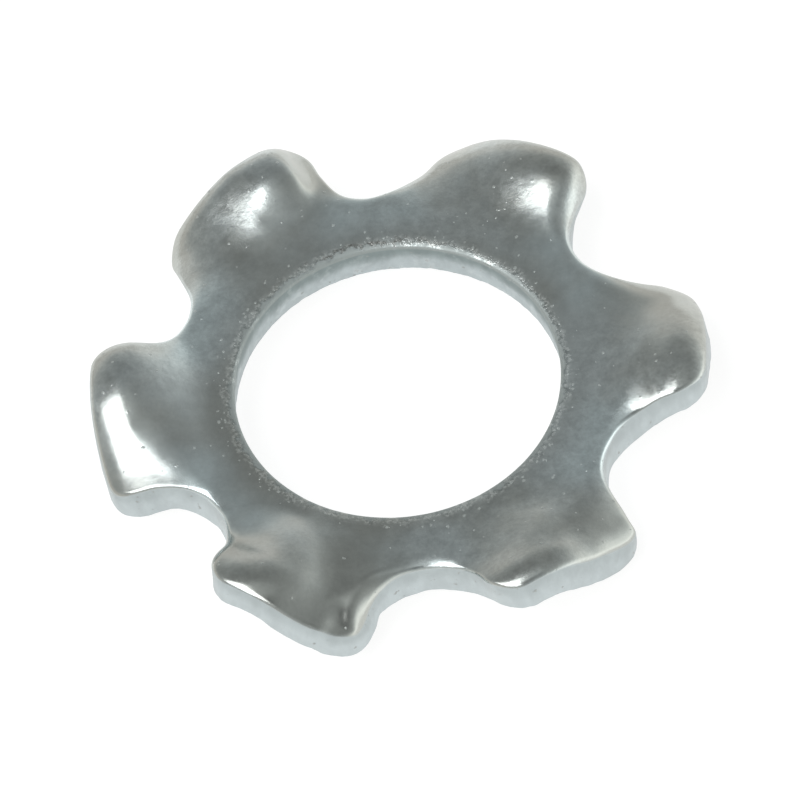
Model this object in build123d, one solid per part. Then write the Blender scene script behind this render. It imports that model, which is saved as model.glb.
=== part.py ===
"""Toothed lock washer with six twisted outer teeth, for an M3 screw.

The washer is one piece of spring steel strip. A press blanks the ring and its six teeth,
which drags the skin of the upper face down round every cut and leaves the lower edges
sharp. A forming die then twists every tooth about its own radial line: seen from above,
the clockwise side of a tooth stands up and the other side hangs down, so its corners bite
into the screw head above and the panel below. No two teeth come out of the die quite alike.

Millimetres. The origin is the centre of the bore, halfway through the strip, and +Z is
along the screw, towards the side with the dragged edges.
"""
import math
import os

from build123d import *

# Flat blank
BORE_RADIUS = 1.60
TIP_RADIUS = 3.00
STRIP = 0.40
TEETH = 6
NOTCH_CENTRE = 2.84
NOTCH_RADIUS = 0.59
FLANK_FLARE = 21.2
CORNER_RADIUS = 0.33
EDGE_ROUND = 0.04
BORE_ROUND = 0.03

# Each tooth, anticlockwise from +X: how deep and how wide the punch has dragged its skin
# down, at its tip, at its right flank and at its left flank
TOOTH_DRAG = [
    (0.13, 0.36, 0.08, 0.65, 0.05, 0.34),
    (0.13, 0.39, 0.14, 0.29, 0.10, 0.19),
    (0.07, 0.23, 0.05, 0.70, 0.00, 0.37),
    (0.14, 0.45, 0.05, 0.62, 0.04, 0.49),
    (0.14, 0.43, 0.08, 0.15, 0.14, 0.24),
    (0.08, 0.26, 0.02, 0.56, 0.09, 0.40),
]
BORE_DRAG = 0.025
NOTCH_DRAG = 0.03
CUT_DRAG_WIDTH = 0.15
DRAG_START = 2.0
DRAG_RUN = 0.5
DRAG_POWER = 2.2

# Each tooth: how far out its bend starts and ends, then its tilt, its lift, its crown and its
# twist across
TOOTH_BENDS = [
    (1.71, 2.99, 0.18, 0.21, 0.25, -0.12),
    (1.60, 2.98, 0.35, 0.09, 0.26, 0.05),
    (1.60, 3.00, 0.09, 0.01, 0.37, -0.09),
    (1.60, 2.89, 0.25, 0.27, 0.07, 0.25),
    (1.60, 2.88, 0.29, 0.38, 0.17, 0.25),
    (1.65, 2.99, 0.34, 0.21, 0.05, 0.34),
]
# Each tooth: how far it is stretched out, how many degrees it leans, and how far its right and
# its left flank are spread
TOOTH_SPREADS = [
    (0.06, 1.6, -0.02, -0.08),
    (0.07, 1.0, 0.09, -0.02),
    (0.06, -3.4, 0.04, 0.11),
    (0.00, -0.1, -0.01, 0.05),
    (0.00, 1.4, 0.05, -0.12),
    (-0.04, 1.0, 0.00, -0.03),
]
SPREAD_RUN = 0.7

# Each tooth: the places where the die has pressed it up further, or down, as the distance
# out, the distance across, the reach and the height of each
TOOTH_PRESSES = [
    [(2.74, -0.94, 0.80, 0.05), (2.83, 0.33, 0.96, -0.12)],
    [(2.71, -0.93, 0.62, -0.10), (2.23, -0.49, 0.57, -0.04), (2.34, 0.02, 0.80, -0.06)],
    [(2.59, -0.45, 0.47, 0.08), (2.80, -0.26, 1.00, 0.13)],
    [(2.21, 0.47, 0.55, 0.03), (2.94, 0.69, 1.00, -0.14)],
    [(2.48, -0.60, 0.66, -0.18), (2.79, 0.84, 0.53, -0.16), (2.70, 0.24, 0.97, -0.20)],
    [(2.57, -0.57, 0.75, -0.09), (2.92, 0.81, 0.75, -0.22), (2.88, 0.15, 0.63, -0.10)],
]

# How closely the formed sheet is followed
CORE_RADIUS = 1.50
STRIP_STEPS = 14
ROUND_STEPS = 3
NOTCH_STEPS = 12
FLANK_STEPS = 4
CORNER_STEPS = 8
TIP_STEPS = 8

PITCH = 360 / TEETH


def compass(angle):
    """Unit vector in the plane of the blank, at an angle in degrees from +X."""
    return Vector(math.cos(math.radians(angle)), math.sin(math.radians(angle)))


NOTCH = Vector(NOTCH_CENTRE, 0)
FLANK = compass(FLANK_FLARE)
INTO_METAL = compass(FLANK_FLARE + 90)


def arc_points(centre, radius, start, end, steps):
    """Points along an arc, each with the arc's own outward direction."""
    angles = [start + (end - start) * step / steps for step in range(steps + 1)]
    return [(centre + compass(angle) * radius, compass(angle)) for angle in angles]


def half_tooth_edge():
    """Cut edge from the bottom of a notch, on +X, to the middle of the next tip.

    Each entry is a point and the direction that faces out of the metal there.
    """
    flank_start = NOTCH + INTO_METAL * NOTCH_RADIUS

    # The corner's centre lies off the flank by its radius and inside the tip circle by it
    offset = flank_start + INTO_METAL * CORNER_RADIUS
    slide = offset.dot(FLANK)
    reach = (TIP_RADIUS - CORNER_RADIUS) ** 2 - offset.dot(offset)
    corner = offset + FLANK * (math.sqrt(slide**2 + reach) - slide)
    corner_angle = math.degrees(math.atan2(corner.Y, corner.X))
    flank_end = corner - INTO_METAL * CORNER_RADIUS

    notch_arc = arc_points(NOTCH, NOTCH_RADIUS, 180, FLANK_FLARE + 90, NOTCH_STEPS)
    edge = [(point, -outward) for point, outward in notch_arc]
    for step in range(1, FLANK_STEPS + 1):
        point = flank_start + (flank_end - flank_start) * (step / FLANK_STEPS)
        edge.append((point, -INTO_METAL))
    edge += arc_points(corner, CORNER_RADIUS, FLANK_FLARE - 90, corner_angle, CORNER_STEPS)[1:]
    edge += arc_points(Vector(0, 0), TIP_RADIUS, corner_angle, PITCH / 2, TIP_STEPS)[1:]
    return edge


def tooth_edge():
    """Cut edge of the tooth on +X, from one notch bottom to the next."""
    turned = [
        (point.rotate(Axis.Z, -PITCH / 2), outward.rotate(Axis.Z, -PITCH / 2))
        for point, outward in half_tooth_edge()
    ]
    mirrored = [
        (Vector(point.X, -point.Y), Vector(outward.X, -outward.Y))
        for point, outward in reversed(turned[:-1])
    ]
    return turned + mirrored


def ease(share):
    """Go from 0 to 1 with no kink at either end."""
    share = min(max(share, 0.0), 1.0)
    return share**3 * (10 - 15 * share + 6 * share**2)


def between(first, second, share):
    """A value part of the way from one to another."""
    return first + (second - first) * share


def from_right_cut(out, across):
    """How far a place on a tooth lies from the notch and the flank on its right."""
    arm = Vector(out, across).rotate(Axis.Z, PITCH / 2) - NOTCH
    beside_flank = arm.dot(FLANK) > 0
    return (arm.dot(INTO_METAL) if beside_flank else arm.length) - NOTCH_RADIUS


def fall(inward, depth, width):
    """How far the skin is dragged down at a distance in from one cut."""
    return depth * max(1 - inward / width, 0) ** DRAG_POWER


def dragged_down(tooth, out, across):
    """How far the skin of the upper face is dragged down at a place on a tooth."""
    tip_depth, tip_width, right_depth, right_width, left_depth, left_width = TOOTH_DRAG[tooth]
    on_tooth = ease((out - DRAG_START) / DRAG_RUN)
    radius = math.hypot(out, across)
    total = fall(radius - BORE_RADIUS, BORE_DRAG, CUT_DRAG_WIDTH)
    total += fall(TIP_RADIUS - radius, tip_depth, tip_width)
    for side, depth, width in ((1, right_depth, right_width), (-1, left_depth, left_width)):
        total += fall(
            from_right_cut(out, side * across),
            between(NOTCH_DRAG, depth, on_tooth),
            between(CUT_DRAG_WIDTH, width, on_tooth),
        )
    return total


def bending_share(tooth, out, across):
    """How much of a tooth's bend a place has, from none at its root to all near its tip.

    The root curves out on both sides, and runs into the bottoms of the notches.
    """
    start, end = TOOTH_BENDS[tooth][:2]
    notch_out, notch_across, _ = compass(PITCH / 2) * (NOTCH_CENTRE - NOTCH_RADIUS)
    root = between(start, notch_out, (across / notch_across) ** 2)
    return ease((out - root) / (end - root))


def pressed_up(tooth, out, across):
    """How far the die has pressed a tooth up from its plain bend."""
    total = 0.0
    for middle_out, middle_across, reach, height in TOOTH_PRESSES[tooth]:
        distance = math.hypot(out - middle_out, across - middle_across) / reach
        total += height * max(1 - distance**2, 0) ** 3
    return total


def rise(tooth, out, across):
    """How far the middle of the strip is bent up at a place on a tooth of the flat blank."""
    tilt, lift, crown, twist = TOOTH_BENDS[tooth][2:]
    whole = lift - tilt * across - crown * across**2 + twist * across**3
    return bending_share(tooth, out, across) * whole + pressed_up(tooth, out, across)


def formed(tooth, flat, height):
    """Where a point of the flat blank goes once its tooth, turned to +X, is formed.

    The height is measured square to the sheet from its middle, so cut walls stay square
    to the sheet, and the tooth's width is drawn in by its slope, as in a real bend.
    """
    out, across = flat.X, flat.Y
    stretch, lean, right_spread, left_spread = TOOTH_SPREADS[tooth]
    step = 1e-4
    slope_out = (rise(tooth, out + step, across) - rise(tooth, out - step, across)) / (2 * step)
    slope_across = (rise(tooth, out, across + step) - rise(tooth, out, across - step)) / (2 * step)
    share = bending_share(tooth, out, across)
    aside = math.radians(lean) * out
    aside += left_spread * ease(across / SPREAD_RUN) - right_spread * ease(-across / SPREAD_RUN)
    middle = Vector(
        out + stretch * share,
        across / math.hypot(1, slope_across) + aside * share,
        rise(tooth, out, across),
    )
    upward = Vector(-slope_out, -slope_across, 1).normalized()
    return middle + upward * height


def strip_section(tooth, edge_point, outward):
    """Closed section of the strip, from inside the bore out to one point of the cut edge."""
    core = edge_point.normalized() * CORE_RADIUS
    round_start = edge_point - outward * EDGE_ROUND
    # The steps get shorter towards both cut edges, where the skin bends most
    run = [(1 - math.cos(math.pi * step / STRIP_STEPS)) / 2 for step in range(STRIP_STEPS + 1)]
    turn = [step / ROUND_STEPS for step in range(ROUND_STEPS + 1)]

    def top(flat, drop=0.0):
        return formed(tooth, flat, STRIP / 2 - dragged_down(tooth, flat.X, flat.Y) - drop)

    upper = [top(core + (round_start - core) * share) for share in run]
    lower = [
        formed(tooth, core + (edge_point - core) * share, -STRIP / 2) for share in reversed(run)
    ]
    edge_round = []
    for share in turn:
        angle = math.pi / 2 * share
        inset = EDGE_ROUND * (1 - math.sin(angle))
        drop = EDGE_ROUND * (1 - math.cos(angle))
        edge_round.append(top(edge_point - outward * inset, drop))
    return Wire(
        [
            Edge.make_spline(upper, parameters=run),
            Edge.make_spline(edge_round, parameters=turn),
            Edge.make_line(edge_round[-1], lower[0]),
            Edge.make_spline(lower, parameters=[1 - share for share in reversed(run)]),
            Edge.make_line(lower[-1], upper[0]),
        ]
    )


def tooth_sector(tooth):
    """One tooth with its share of the ring, lofted through sections along its cut edge."""
    sections = [strip_section(tooth, point, outward) for point, outward in tooth_edge()]
    return Solid.make_loft(sections).rotate(Axis.Z, tooth * PITCH)


def lock_washer():
    """Ring of formed teeth, bored through, with the bore's upper rim rounded."""
    sectors = [tooth_sector(tooth) for tooth in range(TEETH)]
    washer = sectors[0].fuse(*sectors[1:]) - Cylinder(BORE_RADIUS, 4 * STRIP)
    rim = [
        edge
        for edge in washer.edges()
        if math.isclose((edge @ 0.5).Z, STRIP / 2 - BORE_DRAG, abs_tol=0.01)
        and math.isclose(math.hypot((edge @ 0.5).X, (edge @ 0.5).Y), BORE_RADIUS, abs_tol=0.01)
    ]
    return fillet(rim, BORE_ROUND)


os.makedirs("parts", exist_ok=True)
export_step(lock_washer(), "parts/lock_washer.step")
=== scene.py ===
"""Zinc-plated toothed lock washer, lying on its teeth on a pale studio table.

The washer is modelled flat in millimetres, bent, and then scaled to metres.
"""

import math

import bmesh
import bpy
from mathutils import Matrix, Vector, noise


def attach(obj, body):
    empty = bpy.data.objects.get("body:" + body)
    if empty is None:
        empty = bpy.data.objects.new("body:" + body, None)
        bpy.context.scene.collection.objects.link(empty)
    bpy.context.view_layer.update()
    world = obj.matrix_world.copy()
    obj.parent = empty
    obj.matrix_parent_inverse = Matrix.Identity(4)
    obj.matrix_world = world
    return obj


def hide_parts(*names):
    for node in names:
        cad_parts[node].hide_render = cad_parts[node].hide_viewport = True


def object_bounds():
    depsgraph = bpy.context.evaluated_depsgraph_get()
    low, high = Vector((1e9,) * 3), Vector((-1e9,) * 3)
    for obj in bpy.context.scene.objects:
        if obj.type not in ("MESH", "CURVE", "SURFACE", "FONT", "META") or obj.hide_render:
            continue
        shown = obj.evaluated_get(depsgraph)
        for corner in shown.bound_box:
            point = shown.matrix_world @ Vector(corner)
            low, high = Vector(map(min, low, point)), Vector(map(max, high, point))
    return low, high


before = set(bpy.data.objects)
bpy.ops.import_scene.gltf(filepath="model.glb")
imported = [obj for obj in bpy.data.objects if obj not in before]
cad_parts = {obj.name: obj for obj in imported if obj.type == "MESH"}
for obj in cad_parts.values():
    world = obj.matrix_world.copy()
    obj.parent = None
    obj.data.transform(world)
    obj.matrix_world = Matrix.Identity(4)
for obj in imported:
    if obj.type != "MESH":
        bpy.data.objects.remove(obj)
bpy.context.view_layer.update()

# ---------------------------------------------------------------- lock washer: punched blank
# The washer starts as a flat ring with six teeth, stamped from 0.4 mm spring steel strip.
# The punch cuts the notches and the bore square to the strip, and leaves their edges crisp.
TEETH = 6
PITCH = 2 * math.pi / TEETH
STRIP = 0.40
BORE_RADIUS = 1.60
TIP_RADIUS = 3.00
NOTCH_CENTRE = Vector((2.84, 0, 0))
NOTCH_RADIUS = 0.59
FLANK_FLARE = math.radians(21.2)
FLANK = Vector((math.cos(FLANK_FLARE), math.sin(FLANK_FLARE), 0))
INTO_METAL = Vector((-FLANK.y, FLANK.x, 0))
CORNER_RADIUS = 0.33
EDGE_ROUND = 0.04
BORE_ROUND = 0.03
FACE_MARGIN = 0.08
MERGE = 1e-5


def turn(bm, vert, centre, angle, steps):
    """Carry the line on from a vertex along an arc, and return the arc's last vertex."""
    made = bmesh.ops.spin(
        bm, geom=[vert], cent=centre, axis=(0, 0, 1), angle=angle, steps=steps
    )
    return made["geom_last"][0]


def cut_edge():
    """Closed line of the blank's cut edge: notch, flank, corner and tip, six times round."""
    offset = NOTCH_CENTRE + INTO_METAL * (NOTCH_RADIUS + CORNER_RADIUS)
    slide = offset.dot(FLANK)
    reach = (TIP_RADIUS - CORNER_RADIUS) ** 2 - offset.length_squared
    corner = offset + FLANK * (math.sqrt(slide**2 + reach) - slide)
    corner_angle = math.atan2(corner.y, corner.x)
    flank_end = corner - INTO_METAL * CORNER_RADIUS

    bm = bmesh.new()
    start = bm.verts.new(NOTCH_CENTRE - Vector((NOTCH_RADIUS, 0, 0)))
    flank = turn(bm, start, NOTCH_CENTRE, FLANK_FLARE - math.pi / 2, 20)
    flank_steps = 4
    flank_step = (flank_end - flank.co) / flank_steps
    for _ in range(flank_steps):
        flank = bmesh.ops.extrude_vert_indiv(bm, verts=[flank])["verts"][0]
        bmesh.ops.translate(bm, verts=[flank], vec=flank_step)
    tip_start = turn(bm, flank, corner, corner_angle - FLANK_FLARE + math.pi / 2, 16)
    turn(bm, tip_start, (0, 0, 0), PITCH / 2 - corner_angle, 14)

    bmesh.ops.mirror(bm, geom=bm.verts[:] + bm.edges[:], merge_dist=MERGE, axis="Y")
    bmesh.ops.spin(
        bm, geom=bm.verts[:] + bm.edges[:], cent=(0, 0, 0), axis=(0, 0, 1),
        angle=2 * math.pi, steps=TEETH, use_duplicate=True,
    )
    bmesh.ops.remove_doubles(bm, verts=bm.verts, dist=MERGE)
    # The middle of a tooth, not of a notch, goes on +X
    bmesh.ops.rotate(bm, verts=bm.verts, matrix=Matrix.Rotation(PITCH / 2, 3, "Z"))
    return bm


def verts_in(made):
    """The vertices among the geometry that an operator made."""
    return [item for item in made["geom"] if isinstance(item, bmesh.types.BMVert)]


def edges_where(bm, test):
    """Edges that pass a test on their length, their rise and the height of their middle."""
    found = []
    for edge in bm.edges:
        first, second = (vert.co for vert in edge.verts)
        if test(edge.calc_length(), abs(first.z - second.z), (first.z + second.z) / 2):
            found.append(edge)
    return found


def flat_blank():
    """Flat solid blank with square edges."""
    bm = cut_edge()
    rim = bmesh.ops.edgeloop_fill(bm, edges=bm.edges)["faces"]
    bmesh.ops.inset_region(
        bm, faces=rim, thickness=EDGE_ROUND + FACE_MARGIN, use_even_offset=True,
        use_boundary=True,
    )
    inner_loop = rim[0].edges[:]
    bmesh.ops.delete(bm, geom=rim, context="FACES_ONLY")

    wide_bore = BORE_RADIUS + BORE_ROUND + FACE_MARGIN
    circle = bmesh.ops.create_circle(bm, segments=len(inner_loop), radius=wide_bore)
    on_circle = set(circle["verts"])
    circle_loop = [edge for edge in bm.edges if on_circle.issuperset(edge.verts)]
    bmesh.ops.bridge_loops(bm, edges=inner_loop + circle_loop)
    bore_verts = verts_in(bmesh.ops.extrude_edge_only(bm, edges=circle_loop))
    shrink = BORE_RADIUS / wide_bore
    bmesh.ops.scale(bm, verts=bore_verts, vec=(shrink, shrink, 1))

    bmesh.ops.translate(bm, verts=bm.verts, vec=(0, 0, -STRIP / 2))
    upper = bmesh.ops.extrude_face_region(bm, geom=bm.faces[:], use_keep_orig=True)
    bmesh.ops.translate(bm, verts=verts_in(upper), vec=(0, 0, STRIP))
    bmesh.ops.recalc_face_normals(bm, faces=bm.faces)
    return bm


def round_off(bm, edges, radius):
    """Round square edges off."""
    bmesh.ops.bevel(
        bm, geom=edges, offset=radius, offset_type="OFFSET", segments=6, profile=0.5,
        affect="EDGES", material=-1, clamp_overlap=False,
    )


def divide(bm, cuts, test):
    """Cut the quads that some edges run across into narrower ones."""
    bmesh.ops.subdivide_edges(bm, edges=edges_where(bm, test), cuts=cuts, use_grid_fill=True)


bm = flat_blank()
upper_edges = [
    edge for edge in bm.edges if edge.calc_face_angle() > 1 and edge.verts[0].co.z > 0
]
bore_edges = [edge for edge in upper_edges if edge.verts[0].co.xy.length < BORE_RADIUS + MERGE]
in_bore = set(bore_edges)
round_off(bm, [edge for edge in upper_edges if edge not in in_bore], EDGE_ROUND)
round_off(bm, bore_edges, BORE_ROUND)
divide(bm, 30, lambda run, climb, up: run > 0.3 and climb < MERGE and up > 0)
divide(bm, 11, lambda run, climb, up: run > 0.3 and climb < MERGE and up < 0)
divide(bm, 7, lambda run, climb, up: climb > 0.2)
divide(bm, 3, lambda run, climb, up: FACE_MARGIN * 0.9 < run < 0.3 and climb < MERGE and up > 0)

# ---------------------------------------------------------------- lock washer: sheared edges
# The punch drags the skin of each tooth down round its edge, so the tooth is domed on top.
# Below that the cut is burnished and then torn, and ends in a ragged burr.
BURR = 0.005
UNDULATION = 0.0015
BORE_DRAG = 0.025
NOTCH_DRAG = 0.03
CUT_DRAG_WIDTH = 0.15
BREAKOUT = 0.02
DRAG_START = 2.0
DRAG_RUN = 0.5
DRAG_POWER = 2.2
# Each tooth: how deep and how wide its skin is dragged down, at its tip, its right flank and
# its left flank, in millimetres. A fitting program found these values, and those of the three
# tables for bent teeth below. They weren't chosen by hand.
TOOTH_DRAG = [
    (0.13, 0.36, 0.08, 0.65, 0.05, 0.34),
    (0.13, 0.39, 0.14, 0.29, 0.10, 0.19),
    (0.07, 0.23, 0.05, 0.70, 0.00, 0.37),
    (0.14, 0.45, 0.05, 0.62, 0.04, 0.49),
    (0.14, 0.43, 0.08, 0.15, 0.14, 0.24),
    (0.08, 0.26, 0.02, 0.56, 0.09, 0.40),
]


def ease(share):
    """Go from 0 to 1 with no kink at either end."""
    share = min(max(share, 0), 1)
    return share**3 * (10 - 15 * share + 6 * share**2)


def between(first, second, share):
    """A value part of the way from one to another."""
    return first + (second - first) * share


def tooth_place(place):
    """Which tooth a point belongs to, and how far out and across it lies on that tooth."""
    tooth = round(math.atan2(place.y, place.x) / PITCH) % TEETH
    out, across, _ = Matrix.Rotation(-tooth * PITCH, 3, "Z") @ place
    return tooth, out, across


def from_right_cut(out, across):
    """How far a point on a tooth lies from the notch and the flank on its right."""
    arm = Matrix.Rotation(PITCH / 2, 3, "Z") @ Vector((out, across, 0)) - NOTCH_CENTRE
    beside_flank = arm.dot(FLANK) > 0
    return (arm.dot(INTO_METAL) if beside_flank else arm.length) - NOTCH_RADIUS


def fall(inward, depth, width):
    """How far the skin is dragged down at a distance in from one cut."""
    return depth * max(1 - inward / width, 0) ** DRAG_POWER


def dragged_down(tooth, out, across):
    """How far the skin at a place on a tooth has been dragged down."""
    depth_tip, width_tip, depth_right, width_right, depth_left, width_left = TOOTH_DRAG[tooth]
    on_tooth = ease((out - DRAG_START) / DRAG_RUN)
    sides = (
        (from_right_cut(out, across), depth_right, width_right),
        (from_right_cut(out, -across), depth_left, width_left),
    )
    radius = math.hypot(out, across)
    total = fall(radius - BORE_RADIUS, BORE_DRAG, CUT_DRAG_WIDTH)
    total += fall(TIP_RADIUS - radius, depth_tip, width_tip)
    for inward, depth, width in sides:
        depth = between(NOTCH_DRAG, depth, on_tooth)
        total += fall(inward, depth, between(CUT_DRAG_WIDTH, width, on_tooth))
    return total


# How far down the cut each corner of a wall's faces lies: 0 on the washer's faces, 1 at the burr
cut_depth = bm.loops.layers.float.new("cut_depth")
for face in bm.faces:
    is_under = face.normal.z < -0.5
    for loop in face.loops:
        loop[cut_depth] = 0 if is_under else 0.5 - loop.vert.co.z / STRIP
    face.smooth = True
for edge in bm.edges:
    edge.smooth = edge.calc_face_angle() < 1

bm.normal_update()
moves = {}
for vert in bm.verts:
    place = vert.co
    ripple = noise.noise(place * 3.1) + 0.5 * noise.noise(place * 7.3)
    is_burr = place.z < -STRIP / 2 + MERGE and vert.normal.z > -0.9
    tear = noise.noise(place * 9.0) + 0.6 * noise.noise(place * 23.0)
    moves[vert] = vert.normal * (UNDULATION * ripple + BURR * tear * is_burr)
    if place.xy.length < BORE_RADIUS + MERGE:
        # The bore breaks out a little wider than the punch
        moves[vert] += place.xy.normalized().to_3d() * BREAKOUT * (0.5 - place.z / STRIP)
    moves[vert].z -= dragged_down(*tooth_place(place)) * (0.5 + place.z / STRIP)
for vert, move in moves.items():
    vert.co += move

# ---------------------------------------------------------------- lock washer: bent teeth
# A forming die twists each tooth about its middle line, so that one flank stands up and the
# other bites down, and crowns it a little. No two teeth are quite alike.
# Each tooth, from +X round: how far out its bend starts and ends, then its tilt, its lift, its
# crown and its twist across
TOOTH_BENDS = [
    (1.71, 2.99, 0.18, 0.21, 0.25, -0.12),
    (1.60, 2.98, 0.35, 0.09, 0.26, 0.05),
    (1.60, 3.00, 0.09, 0.01, 0.37, -0.09),
    (1.60, 2.89, 0.25, 0.27, 0.07, 0.25),
    (1.60, 2.88, 0.29, 0.38, 0.17, 0.25),
    (1.65, 2.99, 0.34, 0.21, 0.05, 0.34),
]
NOTCH_BOTTOM = NOTCH_CENTRE.x - NOTCH_RADIUS
# Each tooth: how far it is stretched out, how many degrees it leans, and how far its right and
# its left flank are spread
TOOTH_SPREADS = [
    (0.06, 1.6, -0.02, -0.08),
    (0.07, 1.0, 0.09, -0.02),
    (0.06, -3.4, 0.04, 0.11),
    (0.00, -0.1, -0.01, 0.05),
    (0.00, 1.4, 0.05, -0.12),
    (-0.04, 1.0, 0.00, -0.03),
]
SPREAD_RUN = 0.7
# Each tooth: the places where the die has pressed it up further, or down, as the distance out,
# the distance across, the reach and the height of each
TOOTH_PRESSES = [
    [(2.74, -0.94, 0.80, 0.05), (2.83, 0.33, 0.96, -0.12)],
    [(2.71, -0.93, 0.62, -0.10), (2.23, -0.49, 0.57, -0.04), (2.34, 0.02, 0.80, -0.06)],
    [(2.59, -0.45, 0.47, 0.08), (2.80, -0.26, 1.00, 0.13)],
    [(2.21, 0.47, 0.55, 0.03), (2.94, 0.69, 1.00, -0.14)],
    [(2.48, -0.60, 0.66, -0.18), (2.79, 0.84, 0.53, -0.16), (2.70, 0.24, 0.97, -0.20)],
    [(2.57, -0.57, 0.75, -0.09), (2.92, 0.81, 0.75, -0.22), (2.88, 0.15, 0.63, -0.10)],
]


def pressed_up(tooth, out, across):
    """How far the die has pressed a tooth up from its plain bend."""
    total = 0.0
    for middle_out, middle_across, reach, height in TOOTH_PRESSES[tooth]:
        distance = math.hypot(out - middle_out, across - middle_across) / reach
        total += height * max(1 - distance**2, 0) ** 3
    return total


def bending_share(tooth, out, across):
    """How much of a tooth's bend a place has, from none at its root to all near its tip.

    The root curves out on both sides, and runs into the bottoms of the notches.
    """
    start, end = TOOTH_BENDS[tooth][:2]
    notch_out = NOTCH_BOTTOM * math.cos(PITCH / 2)
    notch_across = NOTCH_BOTTOM * math.sin(PITCH / 2)
    root = between(start, notch_out, (across / notch_across) ** 2)
    return ease((out - root) / (end - root))


def rise(tooth, out, across):
    """How far the middle of the strip is bent up, at a place on a tooth of the flat blank."""
    tilt, lift, crown, twist = TOOTH_BENDS[tooth][2:]
    whole = lift - tilt * across - crown * across**2 + twist * across**3
    return bending_share(tooth, out, across) * whole + pressed_up(tooth, out, across)


settled = {}


def bent_strip(tooth, out, across):
    """Height and slopes of the middle of the strip, worked out once for each place."""
    key = (tooth, round(out, 5), round(across, 5))
    if key not in settled:
        step = 2e-3
        climb_out = rise(tooth, out + step, across) - rise(tooth, out - step, across)
        climb_across = rise(tooth, out, across + step) - rise(tooth, out, across - step)
        settled[key] = (
            rise(tooth, out, across), climb_out / (2 * step), climb_across / (2 * step)
        )
    return settled[key]


def formed(place):
    """Carry a point of the flat blank to where bending puts it."""
    tooth, out, across = tooth_place(place)
    height, slope_out, slope_across = bent_strip(tooth, out, across)
    stretch, lean, spread_right, spread_left = TOOTH_SPREADS[tooth]
    share = bending_share(tooth, out, across)
    aside = math.radians(lean) * out
    aside += spread_left * ease(across / SPREAD_RUN) - spread_right * ease(-across / SPREAD_RUN)
    middle = Vector((
        out + stretch * share,
        across / math.hypot(1, slope_across) + aside * share,
        height,
    ))
    upward = Vector((-slope_out, -slope_across, 1)).normalized()
    return Matrix.Rotation(tooth * PITCH, 3, "Z") @ (middle + upward * place.z)


for vert in bm.verts:
    vert.co = formed(vert.co)
bmesh.ops.scale(bm, verts=bm.verts, vec=(0.001, 0.001, 0.001))
bm.normal_update()
washer_mesh = bpy.data.meshes.new("toothed_lock_washer")
bm.to_mesh(washer_mesh)
bm.free()
washer = bpy.data.objects.new("toothed_lock_washer", washer_mesh)
bpy.context.scene.collection.objects.link(washer)
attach(washer, "root")
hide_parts("lock_washer")

# ---------------------------------------------------------------- lock washer: zinc plating
# The steel is plated with zinc and passivated a cool grey. The plate is bright but pebbly on
# the faces, duller on the sheared edges, and specked with nodules round the bore.
FACE_DARK = (0.505, 0.525, 0.50, 1)
FACE_LIGHT = (0.64, 0.695, 0.70, 1)
CUT_TONE = (0.48, 0.535, 0.55, 1)
TORN_TONE = (0.57, 0.63, 0.65, 1)
# Painted shade inside the bore
BORE_PAINTED_SHADE = (0.32, 0.375, 0.38, 1)
LIP_TONE = (0.44, 0.48, 0.475, 1)
# Painted shade line at the back of the bore
BACK_RIM_PAINTED_SHADE = (0.27, 0.265, 0.25, 1)
# Painted reflection beside the notches, at the roots of the teeth
PAINTED_ROOT_REFLECTION = (0.76, 0.86, 0.88, 1)
PIT_TONE = (0.42, 0.44, 0.43, 1)
RIM_TONE = (0.44, 0.46, 0.45, 1)
NODULE_TONE = (0.33, 0.365, 0.355, 1)


def add_node(tree, kind, **settings):
    """Add a node, and set its properties and its inputs by name."""
    made = tree.nodes.new(kind)
    for name, value in settings.items():
        if hasattr(made, name):
            setattr(made, name, value)
        else:
            made.inputs[name.replace("_", " ")].default_value = value
    return made


def feed(tree, socket, value):
    """Link a socket to another, or set it to a plain number or colour."""
    if isinstance(value, bpy.types.NodeSocket):
        tree.links.new(value, socket)
    else:
        socket.default_value = value


def maths(tree, operation, first, second=0.0):
    """Join two numbers or links."""
    made = add_node(tree, "ShaderNodeMath", operation=operation)
    feed(tree, made.inputs[0], first)
    feed(tree, made.inputs[1], second)
    return made.outputs[0]


def times(tree, first, second):
    """Multiply two numbers or links."""
    return maths(tree, "MULTIPLY", first, second)


def plus(tree, first, second):
    """Add two numbers or links."""
    return maths(tree, "ADD", first, second)


def spread(tree, value, low, high, to_low=0.0, to_high=1.0):
    """Stretch a value from low..high to another range, easing at both ends."""
    made = add_node(
        tree, "ShaderNodeMapRange", interpolation_type="SMOOTHSTEP", From_Min=low, From_Max=high,
        To_Min=to_low, To_Max=to_high,
    )
    feed(tree, made.inputs["Value"], value)
    return made.outputs["Result"]


def tinted(tree, share, first, second):
    """Blend two colours by a share."""
    made = add_node(tree, "ShaderNodeMix", data_type="RGBA")
    feed(tree, made.inputs["Factor"], share)
    feed(tree, made.inputs[6], first)
    feed(tree, made.inputs[7], second)
    return made.outputs[2]


def stretched(tree, vector, factors):
    """Stretch or flatten a position along X, Y and Z."""
    made = add_node(tree, "ShaderNodeVectorMath", operation="MULTIPLY")
    feed(tree, made.inputs[0], vector)
    feed(tree, made.inputs[1], factors)
    return made.outputs[0]


def patches(tree, vector, scale, detail=3, roughness=0.55):
    """Noise with so many patches to the millimetre."""
    made = add_node(tree, "ShaderNodeTexNoise", Scale=scale, Detail=detail, Roughness=roughness)
    feed(tree, made.inputs["Vector"], vector)
    return made.outputs["Fac"]


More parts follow.
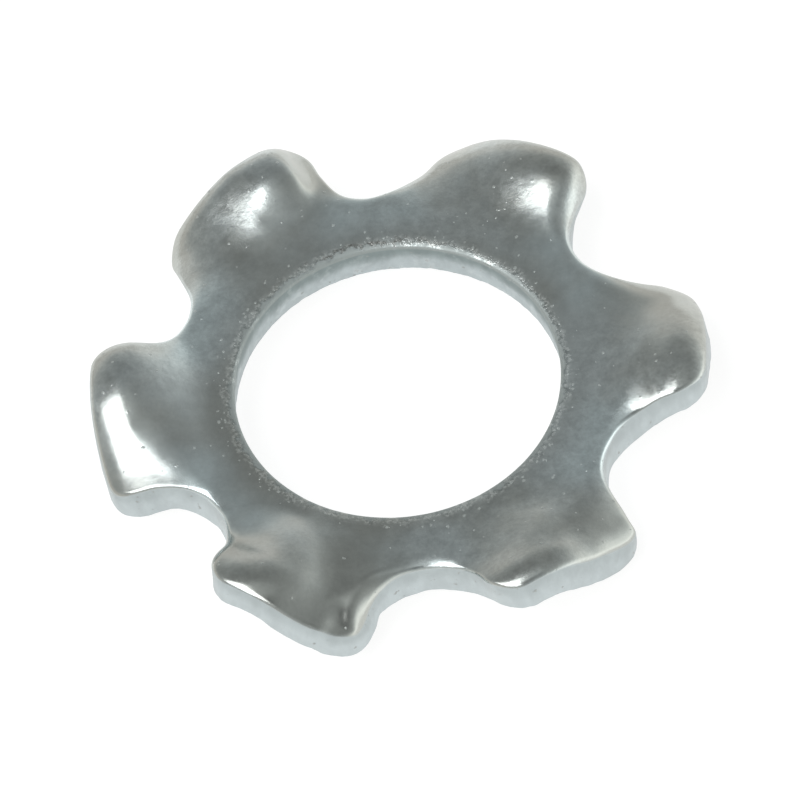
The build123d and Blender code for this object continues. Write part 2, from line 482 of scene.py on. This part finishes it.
zinc = bpy.data.materials.new("bright_zinc_plate")
zinc.use_nodes = True
tree = zinc.node_tree
skin = tree.nodes["Principled BSDF"]
in_metres = add_node(tree, "ShaderNodeTexCoord").outputs["Object"]
spot = stretched(tree, in_metres, (1000, 1000, 1000))
from_axis = add_node(tree, "ShaderNodeVectorMath", operation="LENGTH")
feed(tree, from_axis.inputs[0], stretched(tree, spot, (1, 1, 0)))
radius = from_axis.outputs["Value"]
sides = add_node(tree, "ShaderNodeSeparateXYZ")
feed(tree, sides.inputs[0], spot)

cloud = patches(tree, spot, 0.9)
pebbly_side = spread(tree, patches(tree, spot, 0.42, 2, 0.5), 0.42, 0.60)
mottle = patches(tree, spot, 8, 5, 0.62)
grain = patches(tree, spot, 26, 3, 0.6)
depth = add_node(tree, "ShaderNodeAttribute", attribute_name="cut_depth").outputs["Fac"]

# Cut walls: burnished above a ragged line and torn below it, with a few pits. The dragged lip
# of the bore is as matt as its wall.
ragged_radius = plus(tree, radius, times(tree, mottle, 0.25))
worn = spread(tree, ragged_radius, 1.80, 1.74)
on_wall = maths(tree, "MAXIMUM", spread(tree, depth, 0.015, 0.09), worn)
on_face = maths(tree, "SUBTRACT", 1.0, on_wall)
wander = times(tree, patches(tree, stretched(tree, spot, (1, 1, 0.5)), 3.5, 4, 0.6), 0.5)
torn = times(tree, spread(tree, plus(tree, depth, wander), 0.45, 0.95), on_wall)
streaks = patches(tree, stretched(tree, spot, (1, 1, 0.6)), 7, 4, 0.6)
pit = times(tree, spread(tree, patches(tree, spot, 17, 1, 0.4), 0.71, 0.80), on_wall)

# Painted shade: a dark ragged line just outside the lip, on the back side of the bore only
back_rim_painted_shade = spread(tree, sides.outputs["Y"], 1.45, 1.62)
back_rim_painted_shade = times(tree, back_rim_painted_shade, spread(tree, ragged_radius, 1.76, 1.785))
back_rim_painted_shade = times(tree, back_rim_painted_shade, spread(tree, ragged_radius, 1.825, 1.79))
back_rim_painted_shade = times(tree, back_rim_painted_shade, spread(tree, streaks, 0.42, 0.56, 0.1, 0.8))

# Crust: a ragged pale rim at the bore, and separate nodules that thin out away from it
rim = times(tree, spread(tree, ragged_radius, 1.86, 1.80), on_face)
rim = times(tree, rim, spread(tree, grain, 0.42, 0.62))
jitter = add_node(tree, "ShaderNodeVectorMath", operation="ADD")
feed(tree, jitter.inputs[0], spot)
blur = add_node(tree, "ShaderNodeTexNoise", Scale=30, Detail=2)
feed(tree, blur.inputs["Vector"], spot)
feed(tree, jitter.inputs[1], stretched(tree, blur.outputs["Color"], (0.03, 0.03, 0.03)))


def nodules(scale, near, far, smallest, largest):
    """Scattered lumps, with the share of cells that hold one near the bore and far from it."""
    cells = add_node(tree, "ShaderNodeTexVoronoi", Scale=scale)
    feed(tree, cells.inputs["Vector"], jitter.outputs[0])
    draw = add_node(tree, "ShaderNodeSeparateColor")
    feed(tree, draw.inputs[0], cells.outputs["Color"])
    crowd = plus(tree, spread(tree, radius, 1.68, 1.86, near, far), times(tree, pebbly_side, far))
    is_there = maths(tree, "LESS_THAN", draw.outputs[0], crowd)
    size = spread(tree, draw.outputs[1], 0.0, 1.0, smallest, largest)
    lump = spread(tree, maths(tree, "DIVIDE", cells.outputs["Distance"], size), 1.3, 0.4)
    return times(tree, times(tree, lump, is_there), on_face)


large_nodules = nodules(13, 0.34, 0.03, 0.12, 0.24)
small_nodules = nodules(24, 0.22, 0.015, 0.20, 0.38)
nodule = maths(tree, "MAXIMUM", large_nodules, small_nodules)
crust = maths(tree, "MAXIMUM", times(tree, rim, 0.45), times(tree, nodule, 0.8))

# Painted reflection: the ring's colour is paler toward the back and around the middle of the ring,
# darker toward the bore and out along the teeth, and palest and bluest beside the notches at the
# roots of the teeth, less so at the front. A cloudy tone varies at random over it.
ring_tone_and_painted_reflection = plus(tree, cloud, times(tree, sides.outputs["Y"], 0.02))
ring_tone_and_painted_reflection = maths(tree, "SUBTRACT", ring_tone_and_painted_reflection, times(tree, maths(tree, "MAXIMUM", radius, 2.0), 0.22))
ring_tone_and_painted_reflection = maths(tree, "SUBTRACT", ring_tone_and_painted_reflection, spread(tree, radius, 1.95, 1.65, 0.0, 0.08))
colour = tinted(tree, spread(tree, ring_tone_and_painted_reflection, -0.20, 0.22), FACE_DARK, FACE_LIGHT)
# Painted reflection, pale and blue, at the roots of the teeth beside the notches
root = times(tree, spread(tree, radius, 1.70, 2.08), spread(tree, radius, 2.52, 2.16))
round_it = maths(tree, "ARCTAN2", sides.outputs["Y"], sides.outputs["X"])
root = times(tree, root, spread(tree, sides.outputs["Y"], -1.95, -1.45, 0.25, 1.0))
near_notch = spread(tree, maths(tree, "COSINE", times(tree, round_it, TEETH)), 0.7, -0.7)
root = times(tree, root, times(tree, near_notch, spread(tree, cloud, 0.34, 0.58, 0.5, 1.0)))
colour = tinted(tree, root, colour, PAINTED_ROOT_REFLECTION)
coarse_shade = spread(tree, mottle, 0.3, 0.7, -0.07, 0.07)
fine_shade = spread(tree, grain, 0.3, 0.7, -0.05, 0.05)
shade = plus(tree, coarse_shade, fine_shade)
shade = plus(tree, times(tree, shade, spread(tree, pebbly_side, 0.0, 1.0, 0.4, 1.0)), 1.0)
mottled = add_node(tree, "ShaderNodeVectorMath", operation="SCALE")
feed(tree, mottled.inputs[0], colour)
feed(tree, mottled.inputs["Scale"], shade)
# Painted shade: the burnished wall is darker inside the bore than on the outer cuts
burnished_with_bore_shade = tinted(tree, spread(tree, radius, 1.76, 1.82), BORE_PAINTED_SHADE, CUT_TONE)
cut = tinted(tree, torn, burnished_with_bore_shade, TORN_TONE)
cut_shade = add_node(tree, "ShaderNodeVectorMath", operation="SCALE")
feed(tree, cut_shade.inputs[0], cut)
feed(tree, cut_shade.inputs["Scale"], spread(tree, streaks, 0.3, 0.7, 0.94, 1.05))
colour = tinted(tree, on_wall, mottled.outputs[0], cut_shade.outputs[0])
colour = tinted(tree, times(tree, pit, 0.8), colour, PIT_TONE)
colour = tinted(tree, times(tree, worn, spread(tree, depth, 0.12, 0.03)), colour, LIP_TONE)
colour = tinted(tree, back_rim_painted_shade, colour, BACK_RIM_PAINTED_SHADE)
colour = tinted(tree, crust, colour, tinted(tree, nodule, RIM_TONE, NODULE_TONE))
feed(tree, skin.inputs["Base Color"], colour)

sheen = plus(tree, spread(tree, mottle, 0.3, 0.7, 0.17, 0.23), times(tree, pebbly_side, 0.03))
dull = plus(tree, times(tree, on_wall, 0.36), times(tree, torn, 0.08))
dull = maths(tree, "MAXIMUM", dull, times(tree, crust, 0.5))
dull = maths(tree, "MAXIMUM", dull, times(tree, worn, 0.62))
feed(tree, skin.inputs["Roughness"], maths(tree, "MAXIMUM", sheen, dull))
feed(tree, skin.inputs["Metallic"], maths(tree, "SUBTRACT", 1.0, times(tree, crust, 0.85)))

# Heights in thousandths of a millimetre
lumps = times(tree, mottle, spread(tree, pebbly_side, 0.0, 1.0, 0.6, 2.6))
lumps = plus(tree, lumps, times(tree, grain, spread(tree, pebbly_side, 0.0, 1.0, 0.10, 0.45)))
lumps = plus(tree, lumps, times(tree, nodule, 1.5))
lumps = plus(tree, lumps, times(tree, times(tree, rim, grain), 1.5))
lumps = plus(tree, lumps, times(tree, times(tree, on_wall, streaks), 1.5))
lumps = maths(tree, "SUBTRACT", lumps, times(tree, pit, 4.0))
bump = add_node(tree, "ShaderNodeBump", Strength=1.0, Distance=1e-6)
feed(tree, bump.inputs["Height"], lumps)
feed(tree, skin.inputs["Normal"], bump.outputs["Normal"])
washer_mesh.materials.append(zinc)

# ---------------------------------------------------------------- table
# A large white studio table, seen as white by the camera and in the metal, with a faint shadow.
floor_bm = bmesh.new()
bmesh.ops.create_grid(floor_bm, x_segments=1, y_segments=1, size=1.5)
bmesh.ops.translate(floor_bm, verts=floor_bm.verts, vec=(0, 0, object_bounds()[0][2]))
table_mesh = bpy.data.meshes.new("table")
floor_bm.to_mesh(table_mesh)
floor_bm.free()
table = bpy.data.objects.new("table", table_mesh)
bpy.context.scene.collection.objects.link(table)

TABLE_SEEN = (0.84, 0.84, 0.84, 1)
TABLE_IN_METAL = (0.76, 0.75, 0.73, 1)
paper = bpy.data.materials.new("white_table")
paper.use_nodes = True
tree = paper.node_tree
tree.nodes.clear()
plain = add_node(tree, "ShaderNodeBsdfDiffuse", Color=(0.8, 0.8, 0.8, 1))
faint = add_node(tree, "ShaderNodeBsdfDiffuse", Color=(0.30, 0.30, 0.30, 1))
ray = add_node(tree, "ShaderNodeLightPath")
in_metal = maths(tree, "MAXIMUM", ray.outputs["Is Glossy Ray"], ray.outputs["Is Transmission Ray"])
glow = add_node(tree, "ShaderNodeEmission", Strength=1.0)
feed(tree, glow.inputs["Color"], tinted(tree, in_metal, TABLE_SEEN, TABLE_IN_METAL))
bright = add_node(tree, "ShaderNodeAddShader")
tree.links.new(faint.outputs[0], bright.inputs[0])
tree.links.new(glow.outputs[0], bright.inputs[1])
seen = maths(tree, "MAXIMUM", ray.outputs["Is Camera Ray"], in_metal)
choice = add_node(tree, "ShaderNodeMixShader")
tree.links.new(seen, choice.inputs[0])
tree.links.new(plain.outputs[0], choice.inputs[1])
tree.links.new(bright.outputs[0], choice.inputs[2])
output = add_node(tree, "ShaderNodeOutputMaterial")
tree.links.new(choice.outputs[0], output.inputs["Surface"])
table_mesh.materials.append(paper)

# ---------------------------------------------------------------- studio light
# One large soft panel overhead to the front left, in a grey room that is paler near the table
# and palest low down on the right. A fitting program found the panel's edges and the pale side.
PANEL_HEIGHT = 0.50
PANEL_BRIGHTNESS = 2.7
PANEL_LEFT, PANEL_RIGHT, PANEL_FRONT, PANEL_BACK = -1.25, -0.16, -1.30, 0.21
panel = bpy.data.lights.new("soft_panel", "AREA")
panel.shape = "RECTANGLE"
panel.size = (PANEL_RIGHT - PANEL_LEFT) * PANEL_HEIGHT
panel.size_y = (PANEL_BACK - PANEL_FRONT) * PANEL_HEIGHT
panel.energy = PANEL_BRIGHTNESS * math.pi * panel.size * panel.size_y
panel_holder = bpy.data.objects.new("soft_panel", panel)
panel_holder.location = Vector((
    (PANEL_LEFT + PANEL_RIGHT) / 2, (PANEL_FRONT + PANEL_BACK) / 2, 1
)) * PANEL_HEIGHT
bpy.context.scene.collection.objects.link(panel_holder)

WARM = Vector((1.03, 1.00, 0.95))
COOL = Vector((0.97, 1.01, 1.00))
# Brightness of the room at each angle above the table in degrees, how much is added to it
# towards the pale side, and how warm it is
ROOM = [
    (0, 0.60, 0.85, WARM),
    (12, 0.72, 0.88, WARM),
    (24, 0.46, 0.50, COOL),
    (36, 0.33, 0.18, COOL),
    (50, 0.26, 0.15, COOL),
    (65, 0.28, 0.05, COOL),
    (90, 0.55, 0.00, COOL),
]
# Where the camera stands, which both the room and the camera need
AZIMUTH = math.radians(0.54)
ELEVATION = math.radians(54.75)
back = Vector((
    math.sin(AZIMUTH) * math.cos(ELEVATION),
    -math.cos(AZIMUTH) * math.cos(ELEVATION),
    math.sin(ELEVATION),
))
CAMERA_REACH = math.radians(20)
CAMERA_CORE = math.radians(6)
CAMERA_SHADE = 0.72
PALE_SIDE = math.radians(97)


def ramp_of(tree, value, stops):
    """Colour ramp through stops of position and colour."""
    made = add_node(tree, "ShaderNodeValToRGB")
    stop = made.color_ramp.elements
    for number, (position, shade) in enumerate(stops):
        if number >= len(stop):
            stop.new(position)
        stop[number].position = position
        stop[number].color = (*shade, 1)
    tree.links.new(value, made.inputs[0])
    return made.outputs[0]


world = bpy.data.worlds.new("studio_room")
bpy.context.scene.world = world
world.use_nodes = True
tree = world.node_tree
direction = add_node(tree, "ShaderNodeTexCoord").outputs["Generated"]
axes = add_node(tree, "ShaderNodeSeparateXYZ")
tree.links.new(direction, axes.inputs[0])
above = maths(tree, "DIVIDE", maths(tree, "ARCSINE", axes.outputs["Z"]), math.pi / 2)
level = add_node(tree, "ShaderNodeVectorMath", operation="MULTIPLY")
tree.links.new(direction, level.inputs[0])
level.inputs[1].default_value = (1, 1, 0)
heading = add_node(tree, "ShaderNodeVectorMath", operation="NORMALIZE")
tree.links.new(level.outputs[0], heading.inputs[0])
towards = add_node(tree, "ShaderNodeVectorMath", operation="DOT_PRODUCT")
tree.links.new(heading.outputs[0], towards.inputs[0])
towards.inputs[1].default_value = (math.sin(PALE_SIDE), math.cos(PALE_SIDE), 0)
paleness = maths(tree, "POWER", maths(tree, "MAXIMUM", towards.outputs["Value"], 0.0), 2)
all_round = ramp_of(tree, above, [(degrees / 90, tint * grey) for degrees, grey, _, tint in ROOM])
one_side = ramp_of(tree, above, [(degrees / 90, COOL * more) for degrees, _, more, _ in ROOM])
extra = add_node(tree, "ShaderNodeVectorMath", operation="SCALE")
tree.links.new(one_side, extra.inputs[0])
tree.links.new(paleness, extra.inputs["Scale"])
total = add_node(tree, "ShaderNodeVectorMath", operation="ADD")
tree.links.new(all_round, total.inputs[0])
tree.links.new(extra.outputs[0], total.inputs[1])
# The camera and its stand hide part of the room
towards_camera = add_node(tree, "ShaderNodeVectorMath", operation="DOT_PRODUCT")
tree.links.new(direction, towards_camera.inputs[0])
towards_camera.inputs[1].default_value = back
away = spread(
    tree, towards_camera.outputs["Value"], math.cos(CAMERA_REACH), math.cos(CAMERA_CORE),
    1.0, CAMERA_SHADE,
)
feed(tree, tree.nodes["Background"].inputs["Strength"], away)
tree.links.new(total.outputs[0], tree.nodes["Background"].inputs["Color"])

# ---------------------------------------------------------------- camera
# Above the front of the table, turned a little about its own axis, with a long lens. A fitting
# program found its place.
ROLL = math.radians(-9.18)
DISTANCE = 0.250
VIEW_WIDTH = 0.0078165
AIM_RIGHT = 0.0097e-3
AIM_UP = -0.081e-3

level_right = Vector((math.cos(AZIMUTH), math.sin(AZIMUTH), 0))
level_up = back.cross(level_right)
right = math.cos(ROLL) * level_right + math.sin(ROLL) * level_up
up = math.cos(ROLL) * level_up - math.sin(ROLL) * level_right
lens = bpy.data.cameras.new("camera")
lens.sensor_width = 36
lens.lens = 36 * DISTANCE / VIEW_WIDTH
lens.clip_start = 0.001
lens.clip_end = 10
camera = bpy.data.objects.new("camera", lens)
turned = Matrix((right, up, back)).transposed().to_4x4()
place = right * AIM_RIGHT + up * AIM_UP + back * DISTANCE
camera.matrix_world = Matrix.Translation(place) @ turned
bpy.context.scene.collection.objects.link(camera)
bpy.context.scene.camera = camera

bpy.context.scene.view_settings.view_transform = "Standard"
